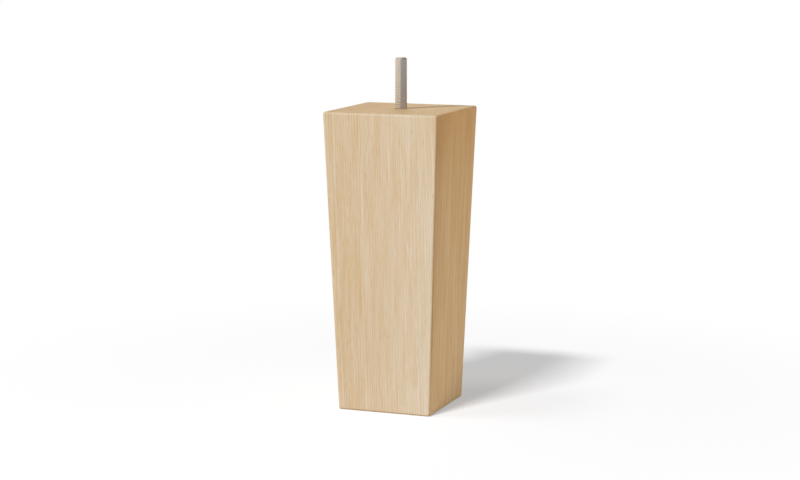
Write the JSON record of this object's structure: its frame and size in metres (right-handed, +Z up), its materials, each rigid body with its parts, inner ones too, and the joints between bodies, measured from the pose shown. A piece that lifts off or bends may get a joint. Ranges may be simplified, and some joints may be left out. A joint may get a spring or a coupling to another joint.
{
  "type": "tapered wooden furniture leg",
  "caption": "Square solid-wood furniture leg that tapers evenly to its foot, with a threaded steel stud standing out of its top for fixing under a sofa, bed or cabinet.",
  "frame": {"origin": "centre of the foot's square face, on the floor", "axes": "+Z up the leg along the stud, towards the furniture; X and Y square to the leg's sides"},
  "size_m": [0.0798, 0.0798, 0.234],
  "materials": {
    "oak": "sanded light oak with a clear matt finish, straight grain along the leg",
    "zinc_plated_steel": "bright zinc plating, slightly satin"
  },
  "bodies": {
    "root": {"leg_body": "oak", "hanger_bolt": "zinc_plated_steel"}
  },
  "joints": []
}
